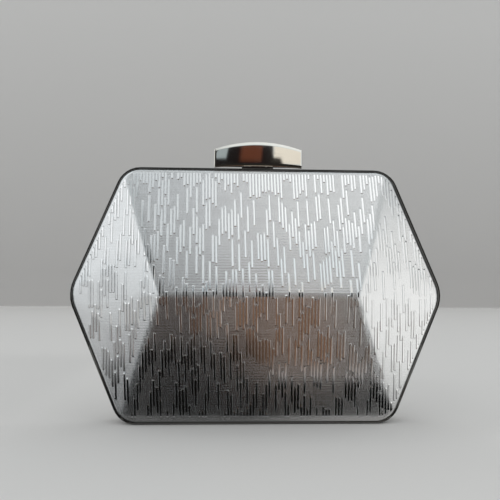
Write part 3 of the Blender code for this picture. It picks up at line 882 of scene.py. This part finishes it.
def build_floor():
    """A pale floor and the grey wall behind it, the wall's colour graded by height as painted shade:
    darker towards its foot and lighter towards its top, standing in for light falling from above.
    """
    builder = bmesh.new()
    section = [(-floor_near_reach, 0), (wall_reach, 0), (wall_reach, wall_height)]
    rows = []
    for x in (-floor_half_width, floor_half_width):
        rows.append([builder.verts.new((x, y, z)) for y, z in section])
    for index in range(len(section) - 1):
        builder.faces.new((rows[0][index], rows[1][index], rows[1][index + 1], rows[0][index + 1]))
    mesh = bpy.data.meshes.new("floor")
    builder.to_mesh(mesh)
    builder.free()
    floor = bpy.data.objects.new("floor", mesh)
    bpy.context.collection.objects.link(floor)
    material, tree, shader, where = add_material("floor_and_wall_painted_shade")
    split = add_node(tree, "ShaderNodeSeparateXYZ", {"Vector": where})
    tone = add_node(tree, "ShaderNodeValToRGB")
    height = add_node(tree, "ShaderNodeMapRange", {"Value": split.outputs["Z"],
                                                   "From Max": wall_shade_height})
    tree.links.new(height.outputs["Result"], tone.inputs["Fac"])
    tone.color_ramp.elements[0].color = floor_tone
    tone.color_ramp.elements[1].color = wall_top_tone
    for at, value in wall_shade_tones:
        warm, cool = [value * share for share in wall_warmth]
        tone.color_ramp.elements.new(at).color = (warm, value, cool, 1)
    tree.links.new(tone.outputs["Color"], shader.inputs["Base Color"])
    shader.inputs["Roughness"].default_value = 0.9
    mesh.materials.append(material)


def add_card(name, corner, along, up, colour, softness):
    """A card that only reflections show, from a corner along two edges, with soft edges."""
    corner, along, up = Vector(corner), Vector(along), Vector(up)
    builder = bmesh.new()
    ring = [corner, corner + along, corner + along + up, corner + up]
    builder.faces.new([builder.verts.new(point) for point in ring])
    mesh = bpy.data.meshes.new(name)
    builder.to_mesh(mesh)
    builder.free()
    mesh.uv_layers.new(name="span")
    for loop, place_on in zip(mesh.uv_layers["span"].data, ((0, 0), (1, 0), (1, 1), (0, 1))):
        loop.uv = place_on
    card = bpy.data.objects.new(name, mesh)
    bpy.context.collection.objects.link(card)
    for ray in ("camera", "diffuse", "shadow", "volume_scatter"):
        setattr(card, f"visible_{ray}", False)
    material = bpy.data.materials.new(name)
    material.use_nodes = True
    tree = material.node_tree
    tree.nodes.clear()
    where = add_node(tree, "ShaderNodeTexCoord").outputs["UV"]
    split = add_node(tree, "ShaderNodeSeparateXYZ", {"Vector": where})
    fades = []
    for axis, (low, high) in enumerate(softness):
        for edge, width in ((0, low), (1, high)):
            if width:
                start, finish = (0, width) if edge == 0 else (1, 1 - width)
                fade = add_node(tree, "ShaderNodeMapRange",
                                {"Value": split.outputs[axis], "From Min": start, "From Max": finish},
                                interpolation_type="SMOOTHSTEP")
                fades.append(fade.outputs["Result"])
    solid = fades[0]
    for fade in fades[1:]:
        solid = add_node(tree, "ShaderNodeMath", {0: solid, 1: fade}, operation="MULTIPLY").outputs[0]
    glow = add_node(tree, "ShaderNodeEmission", {"Color": (*colour, 1)})
    clear = add_node(tree, "ShaderNodeBsdfTransparent")
    mixed = add_node(tree, "ShaderNodeMixShader", {0: solid, 1: clear.outputs[0], 2: glow.outputs[0]})
    add_node(tree, "ShaderNodeOutputMaterial", {"Surface": mixed.outputs[0]})
    mesh.materials.append(material)


def build_world():
    """An even pale studio."""
    world = bpy.data.worlds.new("studio")
    bpy.context.scene.world = world
    world.use_nodes = True
    back = world.node_tree.nodes["Background"]
    back.inputs["Color"].default_value = studio_colour
    back.inputs["Strength"].default_value = 1.0


# The cards, glowing sheets that only reflections show, which paint the dark and bright reflections of the
# surroundings onto the metal: name, corner, edge along, edge up, colour, and the soft shares (low, high)
# of both edges
cards = [
    ("floor_card_foot", (-0.20, -0.0125, 0.0012), (0.265, 0, 0), (0, 0.0085, 0),
     (0.085, 0.085, 0.083), ((0.05, 0.3), (0.05, 0))),
    ("floor_card_step", (-0.05, -0.0125, 0.0010), (0.30, 0, 0), (0, 0.0085, 0),
     (0.30, 0.295, 0.285), ((0.05, 0.05), (0.05, 0))),
    ("floor_card_dark", (-0.15, -0.095, 0.0024), (0.174, 0, 0), (0, 0.0845, 0),
     (0.006, 0.006, 0.006), ((0.3, 0.24), (0.3, 0.02))),
    ("floor_card_shade", (-0.020, -0.048, 0.0026), (0.111, 0, 0), (0, 0.0375, 0),
     (0.006, 0.006, 0.006), ((0.15, 0.15), (0.4, 0.03))),
    ("floor_card_ash", (-0.30, -0.150, 0.0022), (0.21, 0, 0), (0, 0.110, 0),
     (0.40, 0.405, 0.405), ((0.25, 0.2), (0.2, 0.1))),
    ("floor_card_left", (-0.13, -0.36, 0.002), (0.115, 0, 0), (0, 0.30, 0),
     (0.080, 0.048, 0.034), ((0.25, 0.15), (0.05, 0.08))),
    ("floor_card_brown", (-0.045, -0.36, 0.0022), (0.135, 0, 0), (0, 0.33, 0),
     (0.200, 0.115, 0.072), ((0.26, 0.35), (0.05, 0.1))),
    ("floor_card_stone", (0.045, -0.36, 0.0023), (0.070, 0, 0), (0, 0.33, 0),
     (0.17, 0.14, 0.12), ((0.4, 0.15), (0.05, 0.1))),
    ("floor_card_back", (-0.60, -0.005, 0.003), (0.48, 0, 0), (0, 0.29, 0),
     (0.02, 0.02, 0.02), ((0.2, 0.05), (0.05, 0.3))),
    ("floor_card_right", (0.100, -0.17, 0.003), (0.24, 0, 0), (0, 0.146, 0),
     (0.78, 0.79, 0.77), ((0.08, 0.3), (0.2, 0.03))),
    ("front_card_dark", (-0.30, -0.330, 0), (0.44, 0, 0), (0, 0, 0.248),
     (0.020, 0.018, 0.016), ((0.10, 0.35), (0, 0.16))),
    ("front_card_left", (-0.28, -0.332, 0), (0.24, 0, 0), (0, 0, 0.304),
     (0.030, 0.030, 0.030), ((0.10, 0.35), (0, 0.28))),
    ("front_card_haze", (-0.36, -0.340, 0), (0.40, 0, 0), (0, 0, 0.50),
     (0.50, 0.54, 0.55), ((0.10, 0.75), (0, 0.3))),
    ("front_card_glow", (-0.16, -0.345, 0.275), (0.52, 0, 0), (0, 0, 0.36),
     (1.22, 1.235, 1.23), ((0.55, 0.1), (0.15, 0.2))),
    ("front_card_low", (-0.27, -0.335, 0), (0.61, 0, 0), (0, 0, 0.206),
     (0.022, 0.020, 0.018), ((0.08, 0.08), (0, 0.02))),
    ("front_card_patch", (-0.165, -0.328, 0.02), (0.080, 0, 0), (0, 0, 0.14),
     (0.40, 0.40, 0.39), ((0.2, 0.2), (0.2, 0.2))),
    ("bar_card_dark", (-0.062, -0.318, 0.192), (0.106, 0, 0), (0, 0, 0.0365),
     (0.012, 0.010, 0.010), ((0.03, 0.012), (0.02, 0.08))),
    ("bar_card_brown", (-0.020, -0.316, 0.200), (0.044, 0, 0), (0.004, 0, 0.027),
     (0.120, 0.042, 0.024), ((0.25, 0.10), (0.35, 0.15))),
    ("bar_card_window", (-0.057, -0.314, 0.207), (0.020, 0, 0), (0.005, 0, 0.021),
     (0.36, 0.42, 0.45), ((0.06, 0.06), (0.06, 0.06))),
    ("bar_card_light", (0.044, -0.318, 0.203), (0.090, 0, 0), (0.001, 0, 0.0255),
     (0.86, 0.82, 0.74), ((0.015, 0.1), (0.03, 0.15))),
    ("bar_card_shade", (0.040, -0.316, 0.199), (0.026, 0, 0), (-0.006, 0, 0.012),
     (0.02, 0.018, 0.016), ((0.02, 0.3), (0.02, 0.25))),
    ("right_card_light", (0.135, -0.100, 0), (0, 0.072, 0), (0, 0, 0.15),
     (1.06, 1.06, 1.04), ((0.15, 0), (0, 0.25))),
    ("right_card_top", (0.140, -0.120, 0.11), (0, 0.092, 0), (0, 0, 0.20),
     (0.56, 0.58, 0.58), ((0.15, 0), (0.2, 0.35))),
    ("right_card_side", (0.134, -0.029, 0), (0, 0.0195, 0), (0, 0, 0.066),
     (1.10, 1.09, 1.06), ((0.05, 0.05), (0, 0.12))),
    ("right_card_upper", (0.134, -0.029, 0.066), (0, 0.0200, 0), (0, 0, 0.20),
     (0.03, 0.033, 0.036), ((0.05, 0.05), (0.05, 0.2))),
    ("right_card_back", (0.135, -0.010, 0), (0, 0.130, 0), (0, 0, 0.20),
     (0.03, 0.033, 0.036), ((0, 0.1), (0, 0.15))),
    ("left_card_side", (-0.30, -0.020, 0), (0, 0.040, 0), (0, 0, 0.26),
     (0.015, 0.015, 0.015), ((0.1, 0.1), (0, 0.2))),
    ("top_card_dark", (-0.20, -0.030, 0.50), (0.40, 0, 0), (0, 0.050, 0),
     (0.03, 0.03, 0.03), ((0.1, 0.1), (0.1, 0.1))),
    ("top_card_grey", (-0.35, -0.300, 0.52), (0.70, 0, 0), (0, 0.260, 0),
     (0.60, 0.62, 0.63), ((0.1, 0.1), (0.1, 0.1))),
    ("left_card_grey", (-0.78, -0.30, 0), (0.50, -0.40, 0), (0, 0, 0.26),
     (0.72, 0.74, 0.75), ((0.2, 0.2), (0, 0.6))),
    ("left_card_light", (-0.45, -0.55, 0.18), (-0.20, 0.75, 0), (0, 0, 0.34),
     (1.15, 1.17, 1.18), ((0.15, 0.2), (0.25, 0.2))),
]
place_camera()
build_world()
build_floor()
for card in cards:
    add_card(*card)

silver = cover_material()
for half, side, seed in (("front", -1, 11), ("back", 1, 12)):
    cover = build_cover(f"{half}_cover_embossed", side, seed)
    cover.data.materials.append(silver)
    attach(cover, f"{half}_half")
    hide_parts(f"{half}_cover")

finishes = {
    # The frame's nickel gets a near-black colour: partly a dark plating, partly painted shade for the
    # shadowed gap beside it and the dark surroundings its polished rim reflects.
    "frame_metal": metal_material("frame_nickel", (0.15, 0.147, 0.14), roughness=0.05,
                                  marks_scale=700.0, stretch=(1.0, 1.0, 1.0), depth=0.000001),
    "clasp_metal": metal_material("clasp_nickel", (0.88, 0.85, 0.79), roughness=0.045,
                                  marks_scale=900.0, stretch=(0.08, 1.0, 1.0), depth=0.0000008),
    "hinge_steel": metal_material("hinge_steel", (0.56, 0.56, 0.57), roughness=0.26,
                                  marks_scale=1400.0, stretch=(0.06, 1.0, 1.0), depth=0.000012),
    "shell_plastic": plastic_material(),
    "lining_satin": satin_material(),
    "cover_leather": silver,
}
for half, side, seed in (("front", -1, 21), ("back", 1, 22)):
    lining = build_lining(f"{half}_lining_satin", side, seed)
    lining.data.materials.append(finishes["lining_satin"])
    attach(lining, f"{half}_half")
    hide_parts(f"{half}_lining")
bar = build_bar()
bar.data.materials.clear()
bar.data.materials.append(finishes["clasp_metal"])
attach(bar, "clasp")
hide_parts("clasp_bar")

for row in frame["record"]["subparts"]:
    mesh = frame["nodes"][row["node"]].data
    mesh.materials.clear()
    mesh.materials.append(finishes[row["material_slot"]])

bpy.context.scene.view_settings.view_transform = "Standard"
